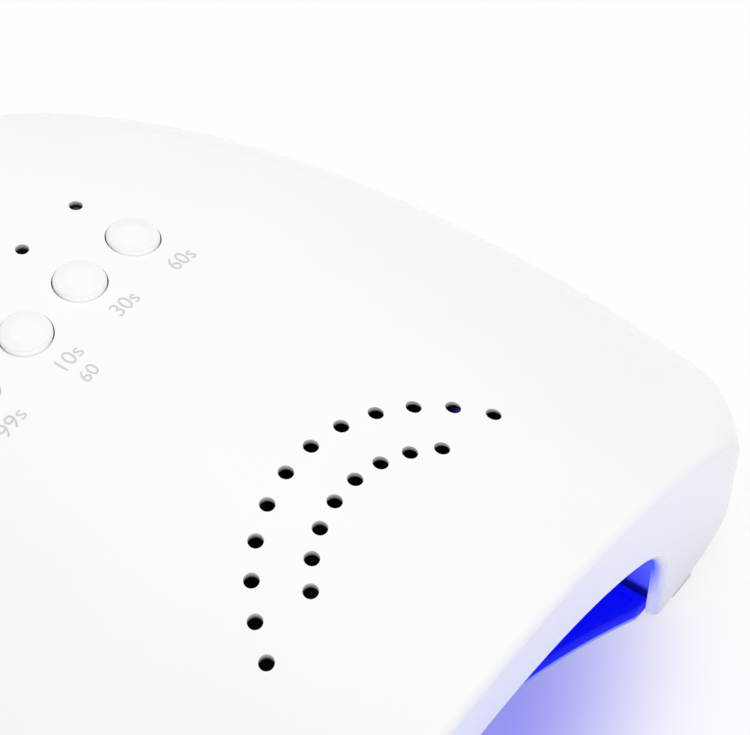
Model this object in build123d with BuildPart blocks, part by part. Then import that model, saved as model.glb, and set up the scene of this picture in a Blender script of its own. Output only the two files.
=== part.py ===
"""Domed LED nail lamp: a hollow glossy shell over a hand cavity, with four timer buttons on top.

Millimetres. The lamp stands on Z = 0 with its front towards -Y. The origin is the middle of the
underside of the whole lamp.
"""

import os
from math import cos, radians, sin, sqrt

from build123d import *

os.makedirs("parts", exist_ok=True)

# Overall size
width = 221.0
length = 208.0
height = 101.0
foot_height = 1.2
wall = 2.5

# Plan outline: the sides are widest close behind the front corners and close in to a round back
widest_y = -76.0
front_blank = 13.0
front_fullness = 0.66
corner_fullness = 0.50
side_fullness = 0.167
rear_fullness = 0.795

# Crown of the dome: radii at its middle line, and how much it flattens towards the sides
crown_summit_y = 29.0
crown_radius_along = 615.0
crown_radius_front = 116.5
crown_radius_rear = 192.0
crown_flatten = 5.0e-8
shoulder_radius = 18.0
base_radius = 12.0

# Front face: it leans back towards the table and bows out slightly
front_lean = 0.117
front_bow_radius = 2000.0
crease_radius = 2.0

# Hand opening
opening_width = 144.0
opening_height = 62.6
opening_draft = 0.165
opening_crown_radius = 95.0
opening_corner_radius = 40.0
jamb_width = 14.0
jamb_depth = 3.4
jamb_round = 2.5
jamb_run_out = 0.05

# Underside rim of the shell
rim_width = 15.0
assembly_gap = 0.2

# Vent holes in two arcs
vent_centre_y = -90.3
vent_radius = 1.775
vent_arcs = [(49.2, 12, 10.436), (36.8, 8, 11.548)]
vent_cut_bottom = 75.0
vent_skin = 1.3
vent_relief_radius = 2.6

# Timer buttons and their lights
button_pitch = 18.86
button_row_y = 26.3
button_radius = 6.1
button_gap = 0.3
button_travel = 0.5
button_proud = 1.1
button_flange = 1.3
button_flange_thick = 1.2
button_edge_round = 0.9
guide_wall = 1.6
guide_bottom = 94.0
guide_gap = 0.1
indicator_row_y = 42.9
indicator_hole_radius = 1.6
indicator_led_radius = 1.5
indicator_guide_bottom = 92.0
indicator_guide_wall = 1.0
indicator_led_top = 97.0
button_names = ["button_99s", "button_10s", "button_30s", "button_60s"]

# Control board
board_top = 87.0
board_thick = 1.6
board_size = (88.0, 60.0)
board_centre_y = 38.0
board_screw_spacing = (78.0, 50.0)
board_post_radius = 3.2
board_screw_radius = 1.3
board_screw_length = 6.0
switch_side = 6.0
switch_height = 3.5
plunger_radius = 1.7
plunger_stroke_room = 0.7
plunger_length = 2.4
plunger_proud = 1.5
plunger_fit = 0.05

# Parts on the control board
buzzer_place = (0.0, 56.0)
buzzer_radius = 4.75
buzzer_height = 5.0
chip_place = (-18.0, 54.0)
chip_size = (10.0, 7.0, 1.5)
inductor_place = (24.0, 34.0)
inductor_radius = 5.0
inductor_height = 8.0
capacitor_place = (24.0, 50.0)
capacitor_radius = 4.0
capacitor_height = 10.0
header_xs = [-27.0, -9.0, 9.0, 27.0]
lead_spacing = 3.8
lead_level = 74.0
header_y = 14.0
header_size = (8.0, 5.0, 4.0)

# Inner liner round the hand
cavity_half_width = 75.0
cavity_straight_y = -62.0
cavity_fullness = 0.48
cavity_rear_y = 68.0
cavity_ceiling = 64.0
cavity_wall_height = 38.0
cavity_edge_radius = 7.0
liner_wall = 2.0
liner_flange = 2.0

# Lamp boards and beads
lamp_board_thick = 1.6
lamp_board_standoff = 1.0
standoff_radius = 2.2
lamp_screw_radius = 0.9
lamp_screw_length = 4.2
ceiling_screw_places = [(20.0, -49.0), (20.0, 3.0)]
side_screw_place = (36.0, -6.0)
ceiling_board = (84.0, 122.0)
ceiling_board_centre_y = -20.0
ceiling_bead_pitch = (20.0, 26.0)
ceiling_bead_rows = (4, 4)
ceiling_bead_centre_y = -23.0
side_board = (24.0, 82.0)
side_board_centre_y = -41.0
side_bead_pitch = 20.0
side_bead_row_gap = 12.0
bead_side = 5.0
bead_base_thick = 1.0
bead_lens_radius = 2.2
bead_lens_rise = 1.3
bead_lens_round = 1.1
bead_hole_radius = 3.6
sensor_spacing = 16.0
sensor_y = -74.0
sensor_radius = 1.5
sensor_hole_radius = 1.8

# Screws between liner and shell
post_places = [(82.5, -56.0), (79.0, -17.0), (32.0, 74.0)]
post_radius = 4.0
screw_radius = 1.5
screw_length = 10.0
screw_head_radius = 2.8
screw_head_height = 1.2

# Removable tray
tray_gap = 1.5
tray_thick = 2.7
tray_rim_height = 1.0
tray_rim_width = 2.4
tray_lip_round = 0.9
tray_front_radius = 163.0
tray_front_depth = 30.3
tray_jamb_gap = 0.4
tray_corner_round = 1.0
ear_size = (18.0, 16.0)
ear_y = -37.0
ear_reach = 11.0
ear_root = 5.0
ear_gap = 0.4
ear_seat = 0.1
ear_wall = 2.0
ear_block_top = 7.0
pocket_roof = 1.0
magnet_radius = 4.0
magnet_thick = 1.8
magnet_fit = 0.05
tray_drop = 25.0

# Feet
foot_radius = 5.5
housing_feet = [(84.0, -73.0), (47.0, 59.0)]
tray_feet = [(54.0, -66.0), (26.0, 44.0)]

# Inlet for the power plug
inlet_height = 24.0
inlet_body = (9.6, 13.5, 11.0)
inlet_barrel_radius = 4.0
inlet_bore_radius = 2.85
inlet_bore_depth = 9.5
inlet_pin_radius = 1.05
inlet_hole_gap = 0.3
cradle_wall = 1.6
rib_thick = 1.6
lead_radius = 0.8
lead_bend = 4.0

half_width = width / 2
front_y = -length / 2
rear_y = length / 2
base_z = foot_height
mirrored = (-1, 1)


def crown_bend(y):
    """Curvature of the crown across the lamp, easing from front to rear."""
    share = (y - front_y) / length
    return (1 - share) / (2 * crown_radius_front) + share / (2 * crown_radius_rear)


def crown_height(x, y):
    """Height of the outer crown surface over the table."""
    along = (y - crown_summit_y) ** 2 / (2 * crown_radius_along)
    return height - along - crown_bend(y) * x**2 + crown_flatten * x**4


crease_height = crown_height(0, front_y)


def plan_outline(level, inset):
    """The lamp seen from above, drawn at one level and drawn in by inset."""
    blank_y = front_y - front_blank + inset
    side = half_width - inset
    back = rear_y - inset
    corner_y = widest_y + corner_fullness * (blank_y - widest_y)
    side_y = widest_y + side_fullness * (back - widest_y)
    with BuildSketch(Plane.XY.offset(level)) as outline:
        with BuildLine():
            Bezier((0, blank_y), (front_fullness * side, blank_y), (side, corner_y), (side, widest_y))
            Bezier((side, widest_y), (side, side_y), (rear_fullness * side, back), (0, back))
            mirror(about=Plane.YZ)
        make_face()
    return outline.sketch


def crown_section(y, inset):
    """One cross-section of the space under the crown."""
    reach = half_width + 12
    middle = crown_height(0, y) - inset
    edge = crown_height(reach, y) - inset
    flat = crown_flatten * reach**4
    bend = middle - edge + flat
    with BuildSketch(Plane.XZ.offset(-y)) as section:
        with BuildLine():
            Bezier(
                (-reach, edge),
                (-reach / 2, middle - flat),
                (0, middle + bend / 3 + flat),
                (reach / 2, middle - flat),
                (reach, edge),
            )
            Polyline((reach, edge), (reach, -height), (-reach, -height), (-reach, edge))
        make_face()
    return section.sketch


def front_block(inset):
    """All the space in front of the leaning front face, moved back by inset."""
    reach = half_width + 20
    sag = reach**2 / (2 * front_bow_radius)
    leaning = Plane(
        origin=(0, front_y + inset, crease_height), x_dir=(1, 0, 0), z_dir=(0, -front_lean, 1)
    )
    with BuildPart() as block:
        with BuildSketch(leaning):
            with BuildLine():
                ThreePointArc((-reach, sag), (0, 0), (reach, sag))
                Polyline((reach, sag), (reach, -length), (-reach, -length), (-reach, sag))
            make_face()
        extrude(amount=1.5 * height, both=True)
    return block.part


def crown_form(inset):
    """All the space under the crown surface, lowered by inset."""
    stations = [front_y - front_blank - 10, -90, -30, 30, 75, rear_y + 12]
    return loft([crown_section(y, inset) for y in stations])


def housing_form(inset):
    """The lamp's outer form as a solid, or the same form drawn in by inset."""
    crown = crown_form(inset)
    plan = plan_outline(base_z + inset, inset)
    front = front_block(inset)
    with BuildPart() as form:
        extrude(plan, amount=height)
        add(crown, mode=Mode.INTERSECT)
        fillet(form.faces().sort_by(Axis.Z)[-1].edges(), shoulder_radius - inset)
        fillet(form.faces().sort_by(Axis.Z)[0].edges(), base_radius - inset)
        add(front, mode=Mode.SUBTRACT)
    return form.part


def opening_outline(grow):
    """The arch of the hand opening on the XZ plane, larger all round by grow."""
    foot_x = opening_width / 2 + grow * sqrt(1 + opening_draft**2)
    arc_radius = opening_crown_radius + grow
    arc_z = opening_height - opening_crown_radius
    slope = 1 + opening_draft**2
    mid = foot_x * opening_draft + arc_z
    corner_z = (mid + sqrt(mid**2 - slope * (foot_x**2 + arc_z**2 - arc_radius**2))) / slope
    corner_x = foot_x - opening_draft * corner_z
    below = -20.0
    low_x = foot_x - opening_draft * below
    with BuildSketch(Plane.XZ) as arch:
        with BuildLine():
            ThreePointArc((-corner_x, corner_z), (0, opening_height + grow), (corner_x, corner_z))
            Polyline((corner_x, corner_z), (low_x, below), (-low_x, below), (-corner_x, corner_z))
        make_face()
        fillet(arch.vertices().group_by(Axis.Y)[-1], opening_corner_radius + grow)
    return arch.sketch


def opening_bar(grow):
    """The arch run out to the front from the middle of the lamp, as a solid."""
    arch = opening_outline(grow)
    with BuildPart() as bar:
        extrude(arch, amount=length)
    return bar.part


def cavity_plan(level, grow):
    """The hand cavity seen from above, open to the front."""
    side = cavity_half_width + grow
    back = cavity_rear_y + grow
    bend_y = cavity_straight_y + cavity_fullness * (back - cavity_straight_y)
    with BuildSketch(Plane.XY.offset(level)) as plan:
        with BuildLine():
            Polyline((0, front_y - 30), (side, front_y - 30), (side, cavity_straight_y))
            Bezier((side, cavity_straight_y), (side, bend_y), (0.7 * side, back), (0, back))
            mirror(about=Plane.YZ)
        make_face()
    return plan.sketch


def cavity_section(grow):
    """The hand cavity seen from the front: upright walls, slanted panels and a flat ceiling."""
    side = cavity_half_width + grow
    top = cavity_ceiling + grow
    slant = grow * (sqrt(2) - 1)
    shoulder = cavity_wall_height + slant
    panel = top - shoulder
    low = -20.0
    with BuildSketch(Plane.XZ) as section:
        with BuildLine():
            Polyline(
                (-side, low), (side, low), (side, shoulder), (side - panel, top),
                (panel - side, top), (-side, shoulder), (-side, low),
            )
        make_face()
        corners = section.vertices().sort_by(Axis.Y)[2:]
        fillet(corners, cavity_edge_radius + grow)
    return section.sketch


def cavity_form(grow, bottom):
    """The space round the hand as a solid, larger by grow."""
    plan = cavity_plan(bottom, grow)
    section = cavity_section(grow)
    with BuildPart() as form:
        extrude(plan, amount=height)
        extrude(section, amount=length, both=True, mode=Mode.INTERSECT)
    return form.part


def panel_place(side, along, up, out, tilt=0):
    """A place on a slanted panel: along the lamp, up the slant and out from the cavity surface."""
    run = (cavity_ceiling - cavity_wall_height) / 2
    normal = Vector(side, 0, 1).normalized()
    centre = Vector(side * (cavity_half_width - run), side_board_centre_y, cavity_wall_height + run)
    face = Plane(origin=centre + normal * out, x_dir=(0, side, 0), z_dir=normal)
    return face.location * Location((side * along, up, 0), (tilt, 0, 0))


def save(solid, name):
    """Label a finished piece, write it and report it."""
    solid.label = name
    export_step(solid, f"parts/{name}.step")
    print(name, round(solid.volume, 1), "mm3")


upward = (Align.CENTER, Align.CENTER, Align.MIN)
downward = (Align.CENTER, Align.CENTER, Align.MAX)
ahead = (Align.CENTER, Align.MAX, Align.CENTER)

button_xs = [(i - 1.5) * button_pitch for i in range(4)]
board_screw_places = [
    (x * board_screw_spacing[0] / 2, board_centre_y + y * board_screw_spacing[1] / 2)
    for x in mirrored
    for y in mirrored
]
liner_screw_places = [(side * x, y) for x, y in post_places for side in mirrored]
vent_places = [
    (radius * sin(radians(turn)), vent_centre_y + radius * cos(radians(turn)))
    for radius, count, step in vent_arcs
    for turn in [step * (i - (count - 1) / 2) for i in range(count)]
]
flange_top = base_z + liner_flange
board_underside = board_top - board_thick
tray_top = base_z + tray_thick
magnet_reach = ear_reach - magnet_radius - 2
magnet_places = [
    (-cavity_half_width - magnet_reach, ear_y),
    (cavity_half_width + magnet_reach, ear_y),
    (0, cavity_rear_y + magnet_reach),
]
ear_places = [
    Location((-cavity_half_width, ear_y, 0), (0, 0, 90)),
    Location((cavity_half_width, ear_y, 0), (0, 0, -90)),
    Location((0, cavity_rear_y, 0)),
]
side_posts = [(x, y) for x, y in liner_screw_places if abs(x) > y]
rear_posts = [(x, y) for x, y in liner_screw_places if abs(x) <= y]
rib_bottom = flange_top + 8
indicator_bore = indicator_led_radius + 0.2
indicator_bore_top = indicator_led_top + 0.3
inlet_face = rear_y - wall - 0.2
inlet_bottom = inlet_height - inlet_body[2] / 2
inlet_back = inlet_face - inlet_body[1]


# Outer shell: one moulded wall with the flared opening, vents, button guides and fixing posts
outer_form = housing_form(0)
inner_form = housing_form(wall)
rib_form = housing_form(wall / 2)
front_face = outer_form.faces().sort_by(Axis.Y)[0]
creased_form = fillet(front_face.edges().filter_by(lambda e: e.center().Z > base_z + 0.1), crease_radius)
space_ahead = front_block(-jamb_run_out)
jamb_block = front_block(jamb_depth)
jamb_bar = opening_bar(jamb_width)
opening_cut = opening_bar(0)
rim_plan = plan_outline(base_z - 1, rim_width)

with BuildPart() as jamb_ring:
    add(jamb_block)
    add(jamb_bar, mode=Mode.INTERSECT)

with BuildPart() as hollow:
    add(inner_form)
    add(jamb_ring.part, mode=Mode.SUBTRACT)

with BuildPart() as mouth:
    add(space_ahead)
    add(opening_cut)
    arris = mouth.edges().filter_by(
        lambda e: abs(e.center().X) < opening_width / 2 + 6
        and -height / 4 < e.center().Z < opening_height + 1
        and front_y - 2 < e.center().Y < front_y + front_blank
    )
    fillet(arris, jamb_round)

with BuildPart() as rim_opening:
    extrude(rim_plan, amount=wall + 2)
    add(jamb_block, mode=Mode.SUBTRACT)

with BuildPart() as furniture:
    with Locations(*[(x, button_row_y, guide_bottom) for x in button_xs]):
        Cylinder(button_radius + button_gap + guide_wall, height, align=upward)
    with Locations(*[(x, indicator_row_y, indicator_guide_bottom) for x in button_xs]):
        Cylinder(indicator_bore + indicator_guide_wall, height, align=upward)
    with Locations(*[(x, y, board_top) for x, y in board_screw_places]):
        Cylinder(board_post_radius, height, align=upward)
    with Locations(*[(x, y, flange_top) for x, y in liner_screw_places]):
        Cylinder(post_radius, height, align=upward)
    with Locations(*[(x + (20 if x > 0 else -20), y, rib_bottom) for x, y in side_posts]):
        Box(40, rib_thick, height, align=upward)
    with Locations(*[(x, y + 20, rib_bottom) for x, y in rear_posts]):
        Box(rib_thick, 40, height, align=upward)
    add(rib_form, mode=Mode.INTERSECT)

with BuildPart() as cradle:
    with Locations((0, rear_y - wall / 2, inlet_bottom - cradle_wall)):
        Box(
            inlet_body[0] + 2 * cradle_wall, inlet_body[1] + 2, inlet_body[2] + cradle_wall,
            align=(Align.CENTER, Align.MAX, Align.MIN),
        )
    with Locations((0, inlet_face, inlet_bottom)):
        Box(
            inlet_body[0], 2 * inlet_body[1], height,
            align=(Align.CENTER, Align.MAX, Align.MIN), mode=Mode.SUBTRACT,
        )

with BuildPart() as outer_shell:
    add(creased_form)
    add(hollow.part, mode=Mode.SUBTRACT)
    add(mouth.part, mode=Mode.SUBTRACT)
    add(rim_opening.part, mode=Mode.SUBTRACT)
    for fixture in furniture.solids():
        add(fixture)
    add(cradle.part)
    with Locations(*[(x, button_row_y, guide_bottom - 1) for x in button_xs]):
        Cylinder(button_radius + button_gap, height, align=upward, mode=Mode.SUBTRACT)
    with Locations(*[(x, indicator_row_y, indicator_guide_bottom - 1) for x in button_xs]):
        Cylinder(indicator_hole_radius, height, align=upward, mode=Mode.SUBTRACT)
        Cylinder(indicator_bore, indicator_bore_top - indicator_guide_bottom + 1, align=upward,
                 mode=Mode.SUBTRACT)
    with Locations(*[(x, y, board_top) for x, y in board_screw_places]):
        Cylinder(board_screw_radius, board_screw_length, align=upward, mode=Mode.SUBTRACT)
    with Locations(*[(x, y, flange_top) for x, y in liner_screw_places]):
        Cylinder(screw_radius, screw_length + 0.5, align=upward, mode=Mode.SUBTRACT)
    with Locations(*[(x, y, crown_height(x, y) - vent_skin) for x, y in vent_places]):
        Cylinder(vent_relief_radius, height / 8, align=downward, mode=Mode.SUBTRACT)
    with Locations(*[(x, y, vent_cut_bottom) for x, y in vent_places]):
        Cylinder(vent_radius, height, align=upward, mode=Mode.SUBTRACT)
    with Locations(Location((0, rear_y, inlet_height), (90, 0, 0))):
        Cylinder(inlet_barrel_radius + inlet_hole_gap, 4 * wall, mode=Mode.SUBTRACT)
save(outer_shell.part, "outer_shell")


# Inner liner: walls and ceiling round the hand, a fixing flange, ear pockets and lamp holes
liner_outer = cavity_form(liner_wall, base_z)
liner_inner = cavity_form(0, base_z - 1)
flange_plan = plan_outline(base_z, rim_width + assembly_gap)
space_before = front_block(jamb_depth + assembly_gap)
ceiling_bead_places = [
    (
        (i - (ceiling_bead_rows[0] - 1) / 2) * ceiling_bead_pitch[0],
        ceiling_bead_centre_y + (j - (ceiling_bead_rows[1] - 1) / 2) * ceiling_bead_pitch[1],
    )
    for i in range(ceiling_bead_rows[0])
    for j in range(ceiling_bead_rows[1])
]
side_bead_places = [
    ((i - (count - 1) / 2) * side_bead_pitch, up)
    for count, up in [(4, side_bead_row_gap / 2), (3, -side_bead_row_gap / 2)]
    for i in range(count)
]
sensor_places = [(side * sensor_spacing / 2, sensor_y) for side in mirrored]
ceiling_screws = [(side * x, y) for x, y in ceiling_screw_places for side in mirrored]
board_out = liner_wall + lamp_board_standoff
ceiling_board_z = cavity_ceiling + board_out
side_screws = [(side, along * side_screw_place[0]) for side in mirrored for along in mirrored]
ear_block_depth = ear_reach + ear_gap + ear_wall

with BuildPart() as inner_liner:
    add(liner_outer)
    extrude(flange_plan, amount=liner_flange)
    with Locations(*ear_places):
        with Locations((0, ear_block_depth, base_z)):
            Box(
                ear_size[0] + 2 * (ear_gap + ear_wall), ear_block_depth + ear_root,
                ear_block_top - base_z, align=(Align.CENTER, Align.MAX, Align.MIN),
            )
    with Locations(*[(x, y, cavity_ceiling + 1) for x, y in ceiling_screws]):
        Cylinder(standoff_radius, board_out - 1, align=upward)
    with Locations(*[panel_place(s, a, side_screw_place[1], 1) for s, a in side_screws]):
        Cylinder(standoff_radius, board_out - 1, align=upward)
    add(liner_inner, mode=Mode.SUBTRACT)
    add(space_before, mode=Mode.SUBTRACT)
    with Locations(*ear_places):
        with Locations((0, ear_reach + ear_gap, base_z)):
            Box(
                ear_size[0] + 2 * ear_gap, ear_reach + ear_gap + ear_root, tray_thick + ear_seat,
                align=(Align.CENTER, Align.MAX, Align.MIN), mode=Mode.SUBTRACT,
            )
    with Locations(*[(x, y, tray_top + ear_seat + pocket_roof) for x, y in magnet_places]):
        Cylinder(magnet_radius + magnet_fit, height / 20, align=upward, mode=Mode.SUBTRACT)
    with Locations(*[(x, y, base_z) for x, y in liner_screw_places]):
        Cylinder(screw_radius + 0.2, liner_flange, align=upward, mode=Mode.SUBTRACT)
        Cylinder(screw_head_radius + 0.2, screw_head_height, align=upward, mode=Mode.SUBTRACT)
    with Locations(*[(x, y, ceiling_board_z) for x, y in ceiling_bead_places]):
        Cylinder(bead_hole_radius, 2 * board_out + 1, mode=Mode.SUBTRACT)
    with Locations(*[panel_place(s, a, u, board_out) for s in mirrored for a, u in side_bead_places]):
        Cylinder(bead_hole_radius, 2 * board_out + 1, mode=Mode.SUBTRACT)
    with Locations(*[(x, y, ceiling_board_z) for x, y in sensor_places]):
        Cylinder(sensor_hole_radius, 2 * board_out + 1, mode=Mode.SUBTRACT)
    with Locations(*[(x, y, ceiling_board_z) for x, y in ceiling_screws]):
        Cylinder(
            lamp_screw_radius, lamp_screw_length - lamp_board_thick, align=downward,
            mode=Mode.SUBTRACT,
        )
    with Locations(*[panel_place(s, a, side_screw_place[1], board_out) for s, a in side_screws]):
        Cylinder(
            lamp_screw_radius, lamp_screw_length - lamp_board_thick, align=downward,
            mode=Mode.SUBTRACT,
        )
save(inner_liner.part, "inner_liner")


# Removable tray: a shallow plate with a rounded lip, a concave front edge and three ears
tray_plan = cavity_plan(base_z, -tray_gap)
tray_well = cavity_plan(tray_top, -tray_gap - tray_rim_width)
tray_front_y = front_y + tray_front_depth - tray_front_radius
face_run = front_lean * (crease_height - base_z) + cavity_half_width**2 / (2 * front_bow_radius)
tray_limit = front_y + face_run + jamb_depth + tray_jamb_gap

with BuildPart() as well:
    extrude(tray_well, amount=height)
    with Locations((0, tray_front_y, tray_top - 1)):
        Cylinder(tray_front_radius + tray_rim_width, 2 * height, align=upward, mode=Mode.SUBTRACT)
    with Locations((0, tray_limit + tray_rim_width, tray_top)):
        Box(width, length, 2 * height, align=ahead, mode=Mode.SUBTRACT)
    fillet(well.edges().filter_by(Axis.Z), tray_corner_round)

with BuildPart() as base_tray:
    extrude(tray_plan, amount=tray_thick + tray_rim_height)
    with Locations((0, tray_front_y, base_z)):
        Cylinder(tray_front_radius, 2 * height, mode=Mode.SUBTRACT)
    with Locations((0, tray_limit, base_z)):
        Box(width, length, 2 * height, align=ahead, mode=Mode.SUBTRACT)
    fillet(base_tray.edges().filter_by(Axis.Z).group_by(Axis.Y)[0], tray_corner_round)
    fillet(base_tray.faces().sort_by(Axis.Z)[-1].edges(), tray_lip_round)
    add(well.part, mode=Mode.SUBTRACT)
    with Locations(*ear_places):
        with Locations((0, ear_reach - ear_size[1] / 2, base_z)):
            Box(ear_size[0], ear_size[1], tray_thick, align=upward)
    with Locations(*[(x, y, tray_top) for x, y in magnet_places]):
        Cylinder(magnet_radius + magnet_fit, magnet_thick, align=downward, mode=Mode.SUBTRACT)
save(base_tray.part, "base_tray")

with BuildPart() as tray_magnets:
    with Locations(*[(x, y, tray_top) for x, y in magnet_places]):
        Cylinder(magnet_radius, magnet_thick, align=downward)
save(tray_magnets.part, "tray_magnets")

with BuildPart() as housing_magnets:
    with Locations(*[(x, y, tray_top + ear_seat + pocket_roof) for x, y in magnet_places]):
        Cylinder(magnet_radius, magnet_thick, align=upward)
save(housing_magnets.part, "housing_magnets")


def foot_set(places):
    """Soft round feet under the given places, on both sides of the middle line."""
    with BuildPart() as feet:
        with Locations(*[(side * x, y, 0) for x, y in places for side in mirrored]):
            Cylinder(foot_radius, foot_height, align=upward)
        chamfer(feet.faces().group_by(Axis.Z)[0].edges(), foot_height / 4)
    return feet.part


save(foot_set(housing_feet), "housing_feet")
save(foot_set(tray_feet), "tray_feet")


# Timer buttons: each cap follows the crown, its flange keeps it under the guide
flange_roof = guide_bottom - guide_gap
plunger_top = board_top + switch_height + plunger_proud
cap_crown = crown_form(-button_proud)

for name, x in zip(button_names, button_xs):
    with BuildPart() as button:
        with Locations((x, button_row_y, flange_roof)):
            Cylinder(button_radius, height, align=upward)
        add(cap_crown, mode=Mode.INTERSECT)
        fillet(button.faces().sort_by(Axis.Z)[-1].edges(), button_edge_round)
        with Locations((x, button_row_y, flange_roof)):
            Cylinder(button_radius + button_flange, button_flange_thick, align=downward)
        with Locations((x, button_row_y, plunger_top)):
            Cylinder(plunger_radius + 1, flange_roof - plunger_top, align=upward)
    save(button.part, name)
    with BuildPart() as plunger:
        with Locations((x, button_row_y, plunger_top)):
            Cylinder(plunger_radius, plunger_length, align=downward)
    save(plunger.part, name.replace("button", "plunger"))


# Control board with its switches, lights and parts
with BuildPart() as control_board:
    with Locations((0, board_centre_y, board_underside)):
        Box(*board_size, board_thick, align=upward)
    fillet(control_board.edges().filter_by(Axis.Z), 2)
    with Locations(*[(x, y, board_top) for x, y in board_screw_places]):
        Cylinder(board_screw_radius + 0.2, board_thick, align=downward, mode=Mode.SUBTRACT)
save(control_board.part, "control_board")

with BuildPart() as tact_switches:
    with Locations(*[(x, button_row_y, board_top) for x in button_xs]):
        Box(switch_side, switch_side, switch_height, align=upward)
    with Locations(*[(x, button_row_y, board_top + switch_height) for x in button_xs]):
        Cylinder(
            plunger_radius + plunger_fit, plunger_length - plunger_proud + plunger_stroke_room,
            align=downward, mode=Mode.SUBTRACT,
        )
save(tact_switches.part, "tact_switches")

with BuildPart() as indicator_leds:
    with Locations(*[(x, indicator_row_y, board_top) for x in button_xs]):
        Cylinder(indicator_led_radius, indicator_led_top - board_top, align=upward)
    fillet(indicator_leds.faces().group_by(Axis.Z)[-1].edges(), indicator_led_radius - 0.4)
save(indicator_leds.part, "indicator_leds")


def screw_set(places, shank, reach, head, head_depth, slot):
    """Screws at the given places: heads below the place, shanks above it."""
    with BuildPart() as screws:
        with Locations(*places):
            Cylinder(shank, reach, align=upward)
            Cylinder(head, head_depth, align=downward)
        with Locations(*places):
            with Locations((0, 0, -head_depth)):
                Box(1.4 * head, slot, slot, align=upward, mode=Mode.SUBTRACT)
                Box(slot, 1.4 * head, slot, align=upward, mode=Mode.SUBTRACT)
    return screws.part


board_screws = screw_set(
    [Location((x, y, board_underside)) for x, y in board_screw_places],
    board_screw_radius, board_thick + board_screw_length, 2 * board_screw_radius, 1.2, 0.6,
)
save(board_screws, "board_screws")

liner_screws = screw_set(
    [Location((x, y, base_z + screw_head_height)) for x, y in liner_screw_places],
    screw_radius, flange_top - base_z - screw_head_height + screw_length,
    screw_head_radius, screw_head_height, 0.7,
)
save(liner_screws, "liner_screws")

lamp_screw_spots = [
    Location((x, y, ceiling_board_z + lamp_board_thick), (180, 0, 0)) for x, y in ceiling_screws
] + [
    panel_place(s, a, side_screw_place[1], board_out + lamp_board_thick, 180) for s, a in side_screws
]
lamp_board_screws = screw_set(
    lamp_screw_spots, lamp_screw_radius, lamp_screw_length, 2 * lamp_screw_radius, 1.0, 0.5
)
save(lamp_board_screws, "lamp_board_screws")

with BuildPart() as buzzer:
    with Locations((*buzzer_place, board_top)):
        Cylinder(buzzer_radius, buzzer_height, align=upward)
    fillet(buzzer.faces().sort_by(Axis.Z)[-1].edges(), 0.5)
    with Locations((*buzzer_place, board_top + buzzer_height)):
        Cylinder(1, 1.5, align=downward, mode=Mode.SUBTRACT)
save(buzzer.part, "buzzer")

with BuildPart() as microcontroller:
    with Locations((*chip_place, board_top)):
        Box(chip_size[0], chip_size[1] + 2, 0.5, align=upward)
        Box(*chip_size, align=upward)
    chamfer(microcontroller.faces().sort_by(Axis.Z)[-1].edges(), 0.3)
save(microcontroller.part, "microcontroller")

with BuildPart() as driver_inductor:
    with Locations((*inductor_place, board_underside)):
        Cylinder(inductor_radius, inductor_height, align=downward)
    with Locations((*inductor_place, board_underside - inductor_height / 2)):
        Cylinder(inductor_radius, inductor_height - 2.4, mode=Mode.SUBTRACT)
        Cylinder(inductor_radius - 1.2, inductor_height - 2.4)
save(driver_inductor.part, "driver_inductor")

with BuildPart() as driver_capacitor:
    with Locations((*capacitor_place, board_underside)):
        Cylinder(capacitor_radius, capacitor_height, align=downward)
    fillet(driver_capacitor.faces().sort_by(Axis.Z)[0].edges(), 0.8)
save(driver_capacitor.part, "driver_capacitor")

with BuildPart() as lead_headers:
    with Locations(*[(x, header_y, board_underside) for x in header_xs]):
        Box(*header_size, align=downward)
    with Locations(*[(x, header_y, board_underside - header_size[2]) for x in header_xs]):
        Box(header_size[0] - 1.6, header_size[1] - 1.6, 2.4, align=upward, mode=Mode.SUBTRACT)
save(lead_headers.part, "lead_headers")


# Lamp boards round the hand, their beads and the hand sensor
with BuildPart() as ceiling_led_board:
    with Locations((0, ceiling_board_centre_y, ceiling_board_z)):
        Box(*ceiling_board, lamp_board_thick, align=upward)
    fillet(ceiling_led_board.edges().filter_by(Axis.Z), 3)
    with Locations(*[(x, y, ceiling_board_z) for x, y in ceiling_screws]):
        Cylinder(lamp_screw_radius + 0.15, lamp_board_thick, align=upward, mode=Mode.SUBTRACT)
save(ceiling_led_board.part, "ceiling_led_board")


def bead_set(places):
    """Lamp beads at the given places, each a square base under a domed lens."""
    with BuildPart() as beads:
        with Locations(*places):
            Box(bead_side, bead_side, bead_base_thick, align=upward)
            with Locations((0, 0, bead_base_thick)):
                Cylinder(bead_lens_radius, bead_lens_rise, align=upward)
        fillet(beads.faces().filter_by(GeomType.PLANE).filter_by(is_lens_top).edges(), bead_lens_round)
    return beads.part


def is_lens_top(face):
    """Whether a flat face is the end of a bead's lens."""
    return len(face.edges()) == 1


ceiling_beads = bead_set(
    [Location((x, y, ceiling_board_z), (180, 0, 0)) for x, y in ceiling_bead_places]
)
save(ceiling_beads, "ceiling_led_beads")

for side, label in [(-1, "left"), (1, "right")]:
    with BuildPart() as side_led_board:
        with Locations(panel_place(side, 0, 0, board_out)):
            Box(side_board[1], side_board[0], lamp_board_thick, align=upward)
        with Locations(*[panel_place(side, a, side_screw_place[1], board_out) for s, a in side_screws]):
            Cylinder(lamp_screw_radius + 0.15, lamp_board_thick, align=upward, mode=Mode.SUBTRACT)
    save(side_led_board.part, label + "_led_board")
    beads = bead_set([panel_place(side, a, u, board_out, 180) for a, u in side_bead_places])
    save(beads, label + "_led_beads")

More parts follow.
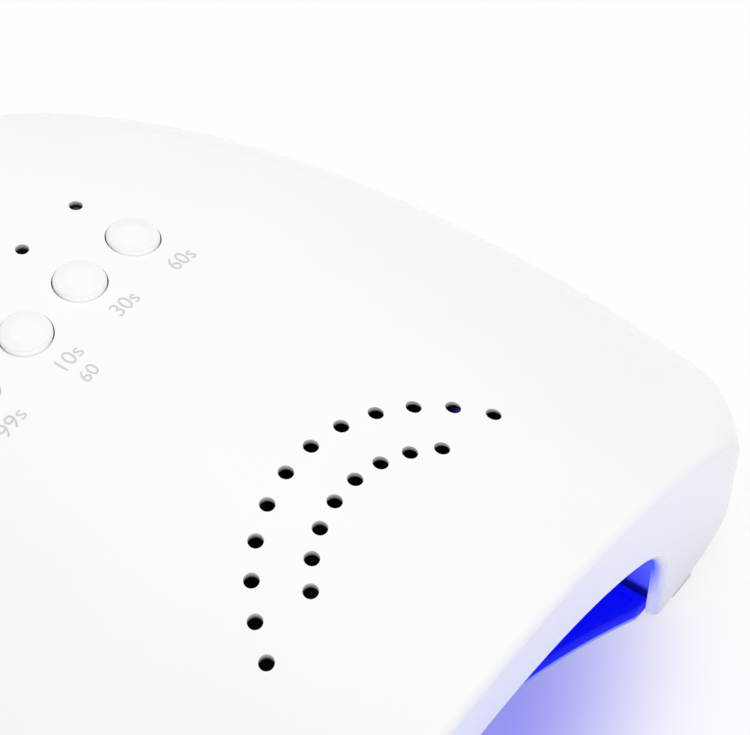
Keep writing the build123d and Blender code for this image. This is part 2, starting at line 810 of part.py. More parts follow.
for name, (x, y) in zip(["sensor_emitter", "sensor_receiver"], sensor_places):
    with BuildPart() as sensor:
        with Locations((x, y, ceiling_board_z)):
            Cylinder(sensor_radius, board_out - 0.5, align=downward)
        fillet(sensor.faces().sort_by(Axis.Z)[0].edges(), sensor_radius / 2)
    save(sensor.part, name)


# Power inlet at the back
with BuildPart() as dc_jack:
    with Locations((0, inlet_face, inlet_bottom)):
        Box(*inlet_body, align=(Align.CENTER, Align.MAX, Align.MIN))
    with Locations(Location((0, inlet_face, inlet_height), (-90, 0, 0))):
        Cylinder(inlet_barrel_radius, rear_y - 0.3 - inlet_face, align=upward)
    with Locations(Location((0, rear_y - 0.3, inlet_height), (-90, 0, 0))):
        Cylinder(inlet_bore_radius, inlet_bore_depth, align=downward, mode=Mode.SUBTRACT)
save(dc_jack.part, "dc_jack")

with BuildPart() as jack_pin:
    with Locations(Location((0, rear_y - 0.3 - inlet_bore_depth, inlet_height), (-90, 0, 0))):
        Cylinder(inlet_pin_radius, inlet_bore_depth - 0.5, align=upward)
    fillet(jack_pin.faces().sort_by(Axis.Y)[-1].edges(), inlet_pin_radius / 2)
save(jack_pin.part, "jack_pin")


def lead(points):
    """A round lead bent through the given points."""
    with BuildPart() as wire:
        with BuildLine() as path:
            FilletPolyline(*points, radius=lead_bend)
        with BuildSketch(Plane(origin=path.line @ 0, z_dir=path.line % 0)):
            Circle(lead_radius)
        sweep()
    return wire.part


header_tip = board_underside - header_size[2] + 2.4
riser_y = inlet_back - 8
power_paths = [
    [
        (d, inlet_back, inlet_height), (d, riser_y, inlet_height), (d, riser_y, lead_level),
        (header_xs[2] + d, header_y, lead_level), (header_xs[2] + d, header_y, header_tip),
    ]
    for d in (-lead_spacing / 2, lead_spacing / 2)
]
with BuildPart() as power_leads:
    for wire in [lead(points) for points in power_paths]:
        add(wire)
save(power_leads.part, "power_leads")

ceiling_board_top = ceiling_board_z + lamp_board_thick
lamp_paths = [
    [
        (header_xs[1] + d, header_y, header_tip), (header_xs[1] + d, header_y, lead_level + 2),
        (header_xs[1] + d, header_y + 12, lead_level + 2),
        (header_xs[1] + d, header_y + 12, ceiling_board_top),
    ]
    for d in (-lead_spacing / 2, lead_spacing / 2)
]
for side in mirrored:
    for d in (-lead_spacing / 2, lead_spacing / 2):
        start_x = side * (header_xs[3] + d)
        reach_out = board_out + lamp_board_thick
        landing = panel_place(side, side_screw_place[0] + d, 8, reach_out).position
        above = panel_place(side, side_screw_place[0] + d, 8, reach_out + 12).position
        lamp_paths.append([
            (start_x, header_y, header_tip), (start_x, header_y, lead_level), tuple(above),
            tuple(landing),
        ])
with BuildPart() as lamp_leads:
    for wire in [lead(points) for points in lamp_paths]:
        add(wire)
save(lamp_leads.part, "lamp_leads")
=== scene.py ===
# %% [markdown]
# # A domed LED nail lamp
# The lamp is a glossy white dome over an opening for a hand. Four timer buttons sit on the crown, and two
# arcs of vent holes sit over the opening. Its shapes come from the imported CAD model, which this script
# loads as a fixed frame. The script adds what a CAD model has no words for: the finish of every surface,
# the printed figures beside the buttons, the blue light in the cavity, a floor, soft light and a camera.

import bmesh
import bpy
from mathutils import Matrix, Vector


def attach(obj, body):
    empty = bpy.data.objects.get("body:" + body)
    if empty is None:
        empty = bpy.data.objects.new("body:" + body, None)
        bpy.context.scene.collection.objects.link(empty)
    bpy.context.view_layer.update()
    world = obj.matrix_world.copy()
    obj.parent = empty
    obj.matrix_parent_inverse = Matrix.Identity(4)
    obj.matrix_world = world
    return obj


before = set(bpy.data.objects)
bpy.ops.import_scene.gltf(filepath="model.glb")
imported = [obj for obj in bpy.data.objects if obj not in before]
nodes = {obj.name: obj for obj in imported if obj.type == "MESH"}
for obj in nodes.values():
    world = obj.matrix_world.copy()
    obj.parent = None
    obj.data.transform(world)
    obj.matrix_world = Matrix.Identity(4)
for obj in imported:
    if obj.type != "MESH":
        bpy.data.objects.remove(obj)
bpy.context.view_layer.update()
scene = bpy.context.scene

# %% [markdown]
# ## The camera
# The photograph was taken from above the lamp's left front, close to the buttons, with a long lens. A
# camera in Blender looks along its own -Z axis, so it is turned with `to_track_quat` until that axis
# points at the target. The lens length sets how much of the lamp is in view.

# %% Camera
camera_place = Vector((-0.3986, -0.3517, 0.7287))
camera_target = Vector((0.03556, -0.03577, 0.08942))
camera_lens_mm = 180.7
camera_sensor_mm = 36

camera_data = bpy.data.cameras.new("photo_camera")
camera_data.lens = camera_lens_mm
camera_data.sensor_width = camera_sensor_mm
camera = bpy.data.objects.new("photo_camera", camera_data)
camera.location = camera_place
camera.rotation_mode = "QUATERNION"
camera.rotation_quaternion = (camera_target - camera_place).to_track_quat("-Z", "Y")
scene.collection.objects.link(camera)
scene.camera = camera
print("camera distance", round((camera_target - camera_place).length, 3), "m")

# %% [markdown]
# ## Writing shader maths as Python
# A material is a graph of nodes. Wiring dozens of Math nodes by hand hides what the maths says, so one
# small class wraps a socket and gives it the usual operators. `1 - mask * 0.5` then builds the two nodes
# it needs. A second class holds a node tree, and its one method `node` adds any other kind of node. The
# world's light is such a tree too, so it is written in the same way further down.


# %% A number in a node tree
class Signal:
    """One output socket of a shader node, used like a number."""

    def __init__(self, graph, socket):
        self.graph = graph
        self.socket = socket

    def maths(self, operation, first, second):
        """A Math node on two values, each a number or a Signal."""
        return self.graph.node("ShaderNodeMath", {"operation": operation}, {0: first, 1: second})

    def __add__(self, other):
        return self.maths("ADD", self, other)

    def __sub__(self, other):
        return self.maths("SUBTRACT", self, other)

    def __rsub__(self, other):
        return self.maths("SUBTRACT", other, self)

    def __mul__(self, other):
        return self.maths("MULTIPLY", self, other)

    def __truediv__(self, other):
        return self.maths("DIVIDE", self, other)

    def __rtruediv__(self, other):
        return self.maths("DIVIDE", other, self)

    def __pow__(self, other):
        return self.maths("POWER", self, other)

    def larger(self, other):
        """The larger of the two numbers."""
        return self.maths("MAXIMUM", self, other)

    def above(self, other):
        """One where this number is the larger, else zero."""
        return self.maths("GREATER_THAN", self, other)

    def folded(self, reach):
        """The number folded to and fro between zero and reach, as a row of equal things needs it."""
        return self.maths("PINGPONG", self, reach)

    __radd__ = __add__
    __rmul__ = __mul__


# %% A node tree under construction
class Graph:
    """A node tree and the one method that adds nodes to it."""

    def __init__(self, tree):
        self.tree = tree

    def node(self, kind, settings=None, inputs=None, output=0):
        """A new node with its settings and its sockets' values, as the Signal of one output."""
        made = self.tree.nodes.new(kind)
        for key, value in (settings or {}).items():
            setattr(made, key, value)
        for key, value in (inputs or {}).items():
            self.feed(made.inputs[key], value)
        return Signal(self, made.outputs[output])

    def feed(self, socket, value):
        """Link a Signal to a socket, or set a plain value on it."""
        if isinstance(value, Signal):
            self.tree.links.new(value.socket, socket)
        else:
            socket.default_value = value


# %% [markdown]
# ## What a finish is made of
# Every material here is built from the same few things: the place of a point on the object, soft random
# clouds, masks that fade from zero to one, blends of two colours, and a shallow bump. Each of these is a
# short method. Noise rarely leaves the range from 0.3 to 0.7, so `spread` takes that range to the two
# values that are wanted.


# %% A material under construction
class Finish(Graph):
    """A material, with the patterns and masks that its finish is made of."""

    def __init__(self, name):
        self.material = bpy.data.materials.new(name)
        self.material.use_nodes = True
        super().__init__(self.material.node_tree)
        self.shader = self.tree.nodes["Principled BSDF"]

    def place(self):
        """Where a point is on the object, in metres."""
        return self.node("ShaderNodeTexCoord", output="Object")

    def along(self, axis):
        """One coordinate of that place."""
        return self.node("ShaderNodeSeparateXYZ", {}, {0: self.place()}, output=axis)

    def facing(self, direction):
        """How far the surface faces a direction: a fixed vector or a Signal."""
        normal = self.node("ShaderNodeTexCoord", output="Normal")
        dot = {"operation": "DOT_PRODUCT"}
        return self.node("ShaderNodeVectorMath", dot, {0: normal, 1: direction}, output="Value")

    def grain(self, per_metre, detail):
        """Soft random variation from 0 to 1, with so many lumps to the metre."""
        sockets = {"Vector": self.place(), "Scale": per_metre, "Detail": detail, "Roughness": 0.5}
        return self.node("ShaderNodeTexNoise", {}, sockets)

    def ramp(self, value, low, high, to_low=0.0, to_high=1.0, curve="LINEAR"):
        """The value taken from one range to another and held at its ends."""
        settings = {"clamp": True, "interpolation_type": curve}
        sockets = {"Value": value, "From Min": low, "From Max": high, "To Min": to_low, "To Max": to_high}
        return self.node("ShaderNodeMapRange", settings, sockets)

    def spread(self, cloud, low, high):
        """Noise taken to the range from low to high."""
        return self.ramp(cloud, 0.3, 0.7, low, high)

    def blend(self, factor, colour_a, colour_b):
        """One colour turning into another."""
        sockets = {"Factor": factor, 6: colour_a, 7: colour_b}
        return self.node("ShaderNodeMix", {"data_type": "RGBA"}, sockets, output=2)

    def bump(self, height, depth_m, strength):
        """Fine relief: height runs from 0 to 1 and depth_m is its real depth."""
        sockets = {"Height": height, "Distance": depth_m, "Strength": strength}
        return self.node("ShaderNodeBump", {}, sockets)

    def set(self, **sockets):
        """Feed the Principled shader's sockets and hand back the material."""
        for name, value in sockets.items():
            self.feed(self.shader.inputs[name.replace("_", " ")], value)
        return self.material


# %% Colours, and materials on nodes
def colour(red, green, blue, share=1.0):
    """A colour as the shader sockets take it, darker where share is under one."""
    return (red * share, green * share, blue * share, 1.0)


white = colour(1.0, 1.0, 1.0)
unlit = colour(0.0, 0.0, 0.0)
finished = {}


def give(material, *node_names):
    """Put one material on whole CAD nodes."""
    for name in node_names:
        mesh = nodes[name].data
        mesh.materials.clear()
        mesh.materials.append(material)
        finished[name] = material.name


print("nodes still bare", len(nodes) - len(finished))

# %% [markdown]
# ## The crown as a formula
# The dome's top is a smooth surface with a known height at every x and y. The formula below gives it, and
# it takes plain numbers as well as shader signals. So one function lays the printed figures on the crown
# and also tells the plastic's shader how deep below the crown a point lies.

# %% Crown surface
length, height = 0.208, 0.101
crown_summit_y = 0.029
crown_radius_along = 0.615
crown_radius_front, crown_radius_rear = 0.1165, 0.192
crown_flatten = 50.0


def crown_height(x, y):
    """The crown's height over a place, from numbers or from Signals."""
    share = (y + length / 2) / length
    bend = (1 - share) / (2 * crown_radius_front) + share / (2 * crown_radius_rear)
    along = (y - crown_summit_y) ** 2 / (2 * crown_radius_along)
    return height - along - bend * x**2 + crown_flatten * x**4


print("crown at the front edge", round(crown_height(0, -length / 2), 4), "m")

# %% [markdown]
# ## Painted shade inside the holes
# Inside the vents and light holes the shell's own shader paints shade: it turns dark a little below the
# crown, so the holes show black. It does so only where the crown has holes, because the dome's rounded
# edge lies below the crown's formula too.

# %% Mask for the holes
hole_shade_depths = (0.0005, 0.0016)
holes_front, holes_rear, holes_side = -0.075, 0.050, 0.055
hole_shade_bottom_z = 0.0765
hole_shade_colour = colour(0.02, 0.02, 0.022)


def painted_hole_shade(finish):
    """Painted shade: one on the walls of the holes in the crown and beneath them, zero on the skin."""
    x, y, z = (finish.along(axis) for axis in "XYZ")
    in_length = y.above(holes_front) * (holes_rear - y).above(0.0)
    in_width = (holes_side**2 - x**2).above(0.0)
    in_height = z.above(hole_shade_bottom_z)
    return finish.ramp(crown_height(x, y) - z, *hole_shade_depths) * in_length * in_width * in_height


print("holes turn dark", hole_shade_depths[0] * 1000, "mm below the crown")

# %% [markdown]
# ## Facing the cavity
# The light inside the lamp falls on whatever faces the middle of the cavity. A dot product finds those
# surfaces: it compares the normal with the way to the cavity's centre. The result is in metres, because
# that way is left at its full length.

# %% Mask for the cavity
cavity_centre = (0.0, -0.02, 0.03)


def facing_cavity(finish, soft_edge=0.004):
    """One where a surface faces the middle of the cavity, zero where it faces away."""
    ends = {0: cavity_centre, 1: finish.place()}
    inward = finish.node("ShaderNodeVectorMath", {"operation": "SUBTRACT"}, ends)
    return finish.ramp(finish.facing(inward), 0.0, soft_edge)


print("cavity centre", cavity_centre)

# %% [markdown]
# ## Gloss white plastic
# The shell and the buttons are injection-moulded ABS with a polished skin. Such a skin is never quite
# flat: it has a slow waviness from the mould and the faintest fine texture, and handling leaves areas
# that are a touch duller. All three are noise at different sizes. The colour stays nearly constant, and
# the roughness and a very shallow bump carry the detail.


# %% The plastic that shell and buttons share
def gloss_plastic(name, base, dull=0.0):
    """Start the plastic. Its skin colour and its relief come back too, still to be fed in."""
    finish = Finish(name)
    cloud = finish.grain(18, detail=3)
    fine = finish.grain(900, detail=1)
    wave = finish.grain(60, detail=1)
    finish.set(
        Roughness=finish.spread(cloud, 0.13 + dull, 0.2 + dull) + fine * 0.02,
        Specular_IOR_Level=0.5,
        Emission_Strength=1.0,
    )
    skin = finish.blend(finish.ramp(cloud, 0.35, 0.65), colour(*base), colour(*base, 0.985))
    return finish, skin, wave * 0.7 + fine * 0.3


# %% [markdown]
# The shell's narrow jamb round the opening faces the cavity. Its top is painted with blue light, in its
# base colour and a faint glow, and near the table a painted glow stands in for a little grey light that
# the white floor throws back.

# %% Shell
jamb_rear = -0.08
jamb_turn_z = (0.010, 0.026)
jamb_painted_blue = colour(0.15, 0.25, 0.9)
jamb_painted_bounce = colour(0.22, 0.22, 0.10)
jamb_painted_glow = colour(0.03, 0.05, 0.20)


def shell_plastic():
    """The gloss plastic, with painted shade in the holes and painted light on the jamb."""
    finish, skin, relief = gloss_plastic("shell_white", (0.93, 0.93, 0.935))
    # Painted shade on the walls of the holes and beneath them.
    skin = finish.blend(painted_hole_shade(finish), skin, hole_shade_colour)
    # Painted light on the jamb: a blue base colour at the top and a glow all over it.
    jamb = facing_cavity(finish, soft_edge=0.06) * (jamb_rear - finish.along("Y")).above(0.0)
    upper = finish.ramp(finish.along("Z"), *jamb_turn_z)
    return finish.set(
        Base_Color=finish.blend(jamb * upper, skin, jamb_painted_blue),
        Normal=finish.bump(relief, 0.00002, 0.5),
        Emission_Color=finish.blend(jamb, unlit, finish.blend(upper, jamb_painted_bounce, jamb_painted_glow)),
    )


give(shell_plastic(), "outer_shell")
print("shell", finished["outer_shell"])

# %% [markdown]
# A button is a cap that stands just proud of the crown. Its edge is rounded in the CAD model, and a bump
# that falls off with the distance from the button's middle widens that rounding in the light. The row has
# an even pitch, so folding x at half that pitch gives the distance for all four at once. The rim on the
# camera's side catches the studio's light, which a faint glow stands in for.

# %% Buttons
button_pitch = 0.01886
button_row_y = 0.0263
cap_flat_radius, cap_edge_radius = 0.0028, 0.0061
cap_rounding = 0.00055
rim_direction = (-0.66, -0.75, 0.0)
rim_light = colour(0.21, 0.21, 0.2)


def button_plastic():
    """The gloss plastic, a touch duller, with the caps' soft rounding."""
    finish, skin, relief = gloss_plastic("button_white", (0.925, 0.925, 0.92), dull=0.04)
    along_row = button_pitch / 2 - finish.along("X").folded(button_pitch / 2)
    from_middle = (along_row**2 + (finish.along("Y") - button_row_y) ** 2) ** 0.5
    dome = 1 - finish.ramp(from_middle, cap_flat_radius, cap_edge_radius, curve="SMOOTHSTEP")
    rim = finish.ramp(finish.facing(rim_direction), 0.45, 0.95)
    return finish.set(
        Base_Color=skin,
        Normal=finish.bump(dome + relief * 0.02, cap_rounding, 1.0),
        Emission_Color=finish.blend(rim, unlit, rim_light),
    )


give(button_plastic(), *[name for name in nodes if name.startswith("button")])
print("gloss plastic on", len(finished), "nodes")

# %% [markdown]
# ## The lit cavity
# Violet-blue lamp beads light the white liner until a camera sees pure blue. A path tracer could find
# that light by itself, but thirty tiny emitters are slow to sample. Here that light is painted: the
# surfaces that face the middle of the cavity give off the blue themselves over a dark blue base colour,
# and less of it towards the back.

# %% What liner and tray share
deep_blue = colour(0.0, 0.001, 0.74)


def lit_plastic(name, base, rough, shine):
    """Start a lit surface. Its cloud and its plain plastic colour come back too."""
    finish = Finish(name)
    cloud = finish.grain(30, detail=3)
    finish.set(
        Roughness=finish.spread(cloud, *rough),
        Normal=finish.bump(finish.grain(700, detail=1), 0.00002, 0.4),
        Emission_Strength=1.0,
        Specular_IOR_Level=shine,
    )
    return finish, cloud, finish.blend(cloud, colour(*base), colour(*base, 0.97))


# %% [markdown]
# The liner is a vaulted tunnel. Close to the mouth its painted blue pales, because daylight reaches in
# there. Its outer side, which only the vents and a view from below show, is dark with painted shade like
# the holes, apart from the flange at its foot.

# %% Liner
mouth_blue = colour(0.19, 0.25, 0.76)
liner_painted_blue = colour(0.03, 0.04, 0.3)
liner_outside_shade = colour(0.012, 0.012, 0.014)
mouth_y = (-0.072, -0.092)
mouth_z = (0.002, 0.03)
liner_foot_z = (0.0045, 0.0065)
liner_fade_y = (-0.06, 0.06)
flange_z = (0.006, 0.009)


def lit_liner():
    """Painted blue light on the side of the hand, painted shade outside, white on the flange."""
    finish, cloud, plastic = lit_plastic("liner_lit", (0.88, 0.89, 0.92), rough=(0.22, 0.32), shine=0.1)
    y, z = finish.along("Y"), finish.along("Z")
    inside = facing_cavity(finish)
    mouth = finish.ramp(y, *mouth_y) * finish.ramp(z, *mouth_z, to_low=0.25)
    level = finish.spread(cloud, 0.95, 1.05) * finish.ramp(z, *liner_foot_z)
    level = level * finish.ramp(y, *liner_fade_y, to_low=1.0, to_high=0.45)
    # Painted shade outside, painted blue light and a dark blue base inside.
    outside = finish.blend(finish.ramp(z, *flange_z), plastic, liner_outside_shade)
    return finish.set(
        Base_Color=finish.blend(inside, outside, liner_painted_blue),
        Emission_Color=finish.blend(inside * level, unlit, finish.blend(mouth, deep_blue, mouth_blue)),
    )


give(lit_liner(), "inner_liner")
print("liner", finished["inner_liner"])

# %% [markdown]
# The tray is a flat floor whose front edge is a concave arc. Its top is painted with blue light over a
# dark blue base colour. The lip below that edge faces the room, so its painted blue is paler. Along the
# sides its raised rim gets painted shade, in the narrow gap beside the liner's wall.

# %% Tray
tray_arc_y, tray_arc_radius = -0.2367, 0.163
lip_blue = colour(0.20, 0.28, 0.84)
tray_painted_blue = colour(0.01, 0.012, 0.12)
lip_reach, lip_z = (0.0009, 0.0002), (0.0026, 0.0018)
rim_z, rim_reach, rim_sides = 0.0044, 0.0028, (0.0722, 0.0738)
tray_fade_y = (-0.05, 0.06)


def past_tray_edge(x, y):
    """How far a point lies behind the tray's front edge."""
    return (x**2 + (y - tray_arc_y) ** 2) ** 0.5 - tray_arc_radius


def lit_tray():
    """Painted blue light on top and at the lip, plain plastic below."""
    finish, cloud, plastic = lit_plastic("tray_lit", (0.9, 0.91, 0.95), rough=(0.28, 0.4), shine=0.2)
    x, y, z = (finish.along(axis) for axis in "XYZ")
    upper = finish.ramp(finish.facing((0.0, 0.0, 1.0)), -0.3, 0.0)
    reach = past_tray_edge(x, y)
    lip = finish.ramp(reach, *lip_reach) * finish.ramp(z, *lip_z)
    # Painted shade on the raised rim beside the liner's wall.
    near_wall = finish.ramp(x**2, rim_sides[0] ** 2, rim_sides[1] ** 2)
    shaded_rim = z.above(rim_z) * reach.above(rim_reach) * near_wall
    level = finish.spread(cloud, 0.96, 1.04) * (1 - shaded_rim)
    level = level * finish.ramp(y, *tray_fade_y, to_low=1.0, to_high=0.55)
    return finish.set(
        Base_Color=finish.blend(upper, plastic, tray_painted_blue),
        Emission_Color=finish.blend(upper * level, unlit, finish.blend(lip, deep_blue, lip_blue)),
    )


give(lit_tray(), "base_tray")
print("tray", finished["base_tray"])

# %% [markdown]
# ## Small parts
# Boards, screws, magnets, feet and the power inlet are bought parts with plain finishes. One function
# makes them all: a base colour with slow clouds in it, a roughness that wanders a little, and a fine
# grain in the relief. The lamp boards are white towards the hand, and behind, where the vents show them,
# they are black with painted shade. The lamp beads give off light, so they have a function of their own.


# %% Finishes of the small parts
def plain_part(name, base, rough, metal=0.0, clouding=0.08, back=None):
    """A plain finish. With back, the sides that face away from the cavity get that colour as painted
    shade.
    """
    finish = Finish(name)
    cloud = finish.grain(400 / 12, detail=3)
    fine = finish.grain(400, detail=2)
    face = finish.blend(cloud, colour(*base, 1 - clouding), colour(*base))
    if back:
        face = finish.blend(facing_cavity(finish), colour(*back), face)
    return finish.set(
        Base_Color=face,
        Roughness=finish.spread(cloud, rough * 0.85, rough * 1.15),
        Metallic=metal,
        Normal=finish.bump(fine, 0.00002, 0.4),
    )


def lamp_bead(name, base, light, strength):
    """A clear lens that gives off light."""
    finish = Finish(name)
    cloud = finish.grain(500, detail=2)
    return finish.set(
        Base_Color=finish.blend(cloud, colour(*base), colour(*base, 0.9)),
        Roughness=finish.spread(cloud, 0.1, 0.2),
        Emission_Color=finish.blend(cloud, colour(*light), colour(*light, 0.9)),
        Emission_Strength=strength,
    )


# %% Small parts
rubber = plain_part("foot_rubber", (0.06, 0.06, 0.065), 0.75, clouding=0.2)
nickel = plain_part("magnet_nickel", (0.66, 0.67, 0.69), 0.25, metal=1.0)
steel = plain_part("screw_steel", (0.60, 0.60, 0.62), 0.35, metal=1.0)
brass = plain_part("pin_brass", (0.78, 0.62, 0.30), 0.25, metal=1.0)
board_green = plain_part("board_green", (0.03, 0.17, 0.08), 0.4, clouding=0.25)
# Painted shade: black on the boards' backs.
board_white = plain_part("lamp_board_white", (0.86, 0.86, 0.84), 0.45, back=(0.01, 0.01, 0.01))
black_plastic = plain_part("black_part", (0.03, 0.03, 0.033), 0.5, clouding=0.2)
ferrite = plain_part("ferrite", (0.09, 0.085, 0.085), 0.65, clouding=0.2)
header_cream = plain_part("header_cream", (0.85, 0.83, 0.74), 0.4)
lead_red = plain_part("lead_red", (0.45, 0.03, 0.03), 0.5)
plunger_tan = plain_part("plunger_tan", (0.80, 0.72, 0.55), 0.4)
bead = lamp_bead("lamp_bead", (0.85, 0.85, 0.8), (0.25, 0.12, 1.0), 6.0)
smoked = plain_part("indicator_smoked", (0.05, 0.05, 0.055), 0.15)

give(rubber, "housing_feet", "tray_feet")
give(nickel, "tray_magnets", "housing_magnets")
give(steel, "board_screws", "liner_screws", "lamp_board_screws")
give(brass, "jack_pin")
give(board_green, "control_board")
give(board_white, "ceiling_led_board", "left_led_board", "right_led_board")
give(black_plastic, "tact_switches", "microcontroller", "buzzer", "driver_capacitor", "dc_jack")
give(ferrite, "driver_inductor", "sensor_receiver")
give(header_cream, "lead_headers")
give(lead_red, "power_leads", "lamp_leads")
give(plunger_tan, *[name for name in nodes if name.startswith("plunger")])
give(bead, "ceiling_led_beads", "left_led_beads", "right_led_beads")
give(smoked, "indicator_leds", "sensor_emitter")
print("bare nodes", sorted(set(nodes) - set(finished)))

# %% [markdown]
# ## Printed figures
# Each button has its time printed in grey beside it. Print is a very thin film of ink that follows the
# dome. A text object gives the shapes of the figures, and its mesh is dropped on to the crown point by
# point. The strokes are trimmed a little, because the font's own are bolder than the photograph's.

# %% Ink
ink_finish = Finish("label_ink")
ink_cloud = ink_finish.grain(900, detail=2)
ink = ink_finish.set(
    Base_Color=ink_finish.blend(ink_cloud, colour(0.58, 0.58, 0.59), colour(0.66, 0.66, 0.67)),
    Roughness=ink_finish.spread(ink_cloud, 0.35, 0.5),
    Normal=ink_finish.bump(ink_cloud, 0.00001, 0.3),
)
print("ink", ink.name)

# %% Figures on the crown
stroke_trim = 0.00004
ink_film = 0.00004
stroke_steps = 6


def printed(name, figures, x, y, size):
    """Flat figures laid on the crown, with the middle of the text at x, y."""
    text = bpy.data.curves.new(name, "FONT")
    text.body = figures
    text.size = size
    text.offset = -stroke_trim
    text.align_x = "CENTER"
    text.align_y = "CENTER"
    text.resolution_u = stroke_steps
    source = bpy.data.objects.new(name + "_outline", text)
    scene.collection.objects.link(source)
    bpy.context.view_layer.update()
    mesh = bpy.data.meshes.new_from_object(source)
    bpy.data.objects.remove(source)
    for point in mesh.vertices:
        point.co.x += x
        point.co.y += y
        point.co.z = crown_height(point.co.x, point.co.y) + ink_film
    mesh.materials.clear()
    mesh.materials.append(ink)
    piece = bpy.data.objects.new(name, mesh)
    scene.collection.objects.link(piece)
    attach(piece, "housing")
    return piece


figure_size, second_row_size = 0.0056, 0.0048
labels = [
    printed("print_60s", "60s", 0.0300, 0.0138, figure_size),
    printed("print_30s", "30s", 0.0104, 0.0142, figure_size),
    printed("print_10s", "10s", -0.0094, 0.0142, figure_size),
    printed("print_60", "60", -0.0097, 0.0082, second_row_size),
    printed("print_99s", "99s", -0.0292, 0.0142, figure_size),
]
print("labels", [label.name for label in labels])

# %% [markdown]
# ## The table
# The photograph is a high-key shot, with a white lamp on a white table that has no visible end. The table
# is one large square. Blue light falls out of the opening on to it, and fades with the distance from the
# mouth. That glow is a blend of two colours round the opening, wider across than it is deep.

# %% Table top
table_size = 6.0
table_mesh = bpy.data.meshes.new("table_top")
build = bmesh.new()
bmesh.ops.create_grid(build, x_segments=1, y_segments=1, size=table_size / 2)
build.to_mesh(table_mesh)
build.free()
table = bpy.data.objects.new("table_top", table_mesh)
scene.collection.objects.link(table)
print("table", table_size, "m across")

# %% Glow on the table
paper_white = colour(0.985, 0.985, 0.985)
glow_blue = colour(0.345, 0.335, 0.88)
glow_centre_y, glow_depth_share = -0.060, 0.65
glow_radii = (0.038, 0.106)
worn_white = colour(0.9, 0.9, 0.9)

table_finish = Finish("table_white")
table_x, table_y = table_finish.along("X"), table_finish.along("Y")
# Painted light: the blue glow on the table, blended in by distance from the mouth.
glow_distance = (table_x**2 + ((table_y - glow_centre_y) / glow_depth_share) ** 2) ** 0.5
beyond_glow = table_finish.ramp(glow_distance, *glow_radii, curve="SMOOTHSTEP")
table_colour = table_finish.blend(beyond_glow, glow_blue, paper_white)
table_cloud = table_finish.grain(8, detail=2)
lit_colour = table_finish.blend(0.4, table_colour, paper_white)
table_white = table_finish.set(
    Base_Color=table_finish.blend(table_cloud * 0.1, lit_colour, worn_white),
    Roughness=0.6,
)
print("glow reaches", glow_radii[1], "m to each side")

# %% [markdown]
# A white table under this soft light renders a touch darker than in the photograph, where the exposure
# makes it plain white. So the camera sees three quarters of the table as paper that gives off its own
# colour, and one quarter as an ordinary lit surface, which keeps the lamp's soft contact shadow. Under the
# lamp's sides the paper stops, because no light gets into the gap above the table there.

# %% Paper under the lamp
paper_share = 0.75
lamp_half_width, lamp_wide_y, lamp_rear_reach = 0.0885, -0.05, 0.138
lamp_front_y = -0.092
edge_margin, jamb_foot_x = 0.0025, 0.069

behind_edge = past_tray_edge(table_x, table_y).above(edge_margin)
rearward = (table_y - lamp_wide_y).larger(0.0) / lamp_rear_reach
under_lamp = (1 - (table_x / lamp_half_width) ** 2 - rearward**2).above(0.0)
beside_mouth = (table_x**2).above(jamb_foot_x**2)
covered = behind_edge * under_lamp * table_y.above(lamp_front_y) * beside_mouth

paper = table_finish.node("ShaderNodeEmission", {}, {"Color": table_colour, "Strength": 1.0})
seen = table_finish.node("ShaderNodeLightPath", output="Is Camera Ray")
lit_table = Signal(table_finish, table_finish.shader.outputs[0])
layers = {0: seen * (1 - covered) * paper_share, 1: lit_table, 2: paper}
shown_table = table_finish.node("ShaderNodeMixShader", {}, layers)
table_finish.feed(table_finish.tree.nodes["Material Output"].inputs["Surface"], shown_table)
table_mesh.materials.append(table_white)
print("table finish", table_white.name)

# %% [markdown]
# ## Lamps
# Two soft disc lamps help the surrounding light. One hangs over the lamp and brightens the crown. The
# other is small and blue, and stands before the mouth. It stands in for the light that the table throws
# back at the front face. Neither shows in reflections, where its disc would look like an object.


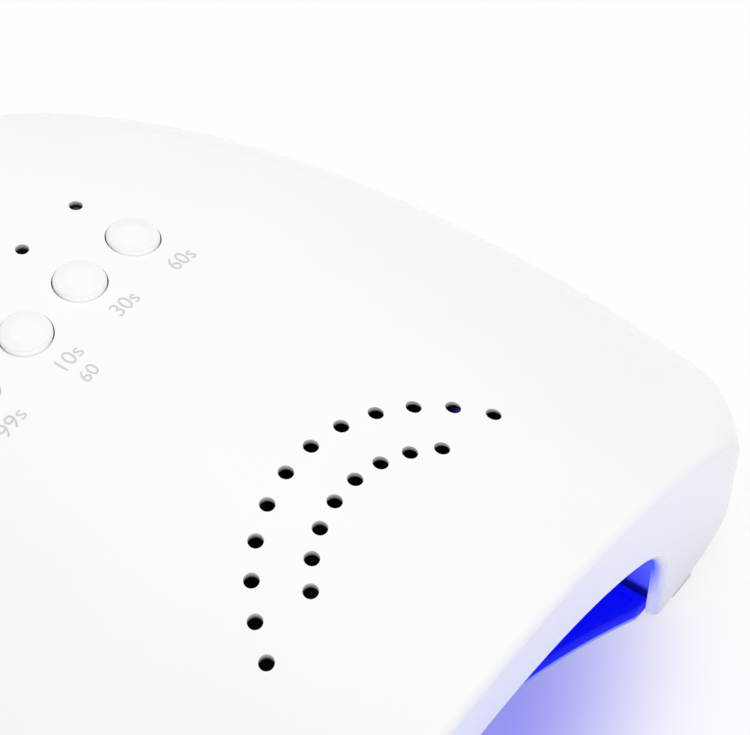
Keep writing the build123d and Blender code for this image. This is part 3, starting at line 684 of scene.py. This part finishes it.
# %% Lamps
def soft_lamp(name, place, target, size, power, tint):
    """A disc of light, size metres across and of so many watts, turned to its target."""
    data = bpy.data.lights.new(name, "AREA")
    data.shape = "DISK"
    data.size = size
    data.energy = power
    data.color = tint
    lamp = bpy.data.objects.new(name, data)
    lamp.location = place
    lamp.rotation_mode = "QUATERNION"
    lamp.rotation_quaternion = (Vector(target) - Vector(place)).to_track_quat("-Z", "Y")
    lamp.visible_glossy = False
    scene.collection.objects.link(lamp)
    return lamp


table_glow = soft_lamp(
    "table_glow",
    place=(0, -0.22, 0.05),
    target=(0, -0.1, 0.05),
    size=0.09,
    power=0.02,
    tint=(0.05, 0.12, 1.0),
)
table_glow.visible_camera = False
overhead = soft_lamp(
    "overhead",
    place=(0.1, -0.1, 1.3),
    target=(0, 0, 0.05),
    size=1.2,
    power=6.5,
    tint=(1, 1, 1),
)
print("lamps", [lamp.name for lamp in (table_glow, overhead)])

# %% [markdown]
# ## The world
# An evenly bright white world gives the high-key look at once, because a surface lit evenly from all
# sides shows its own colour. It is a little brighter overhead and to the right, which shapes the dome
# softly. The camera itself sees plain white beyond the table's edge, as in a studio's sweep.

# %% World
brightest_direction = Vector((0.1, 0.0, 1.0)).normalized()
sky_level, sky_lean = 0.66, 0.065

world = bpy.data.worlds.new("studio")
scene.world = world
world.use_nodes = True
sky = Graph(world.node_tree)
direction = sky.node("ShaderNodeTexCoord", output="Generated")
dot = {"operation": "DOT_PRODUCT"}
upward = sky.node("ShaderNodeVectorMath", dot, {0: direction, 1: brightest_direction}, output="Value")
room = world.node_tree.nodes["Background"]
sky.feed(room.inputs["Color"], white)
sky.feed(room.inputs["Strength"], upward * sky_lean + sky_level)
backdrop = sky.node("ShaderNodeBackground", {}, {"Color": white, "Strength": 1.0})
seen_sky = sky.node("ShaderNodeLightPath", output="Is Camera Ray")
skies = {0: seen_sky, 1: Signal(sky, room.outputs[0]), 2: backdrop}
shown_sky = sky.node("ShaderNodeMixShader", {}, skies)
sky.feed(world.node_tree.nodes["World Output"].inputs["Surface"], shown_sky)
scene.view_settings.view_transform = "Standard"
print("world level", sky_level)
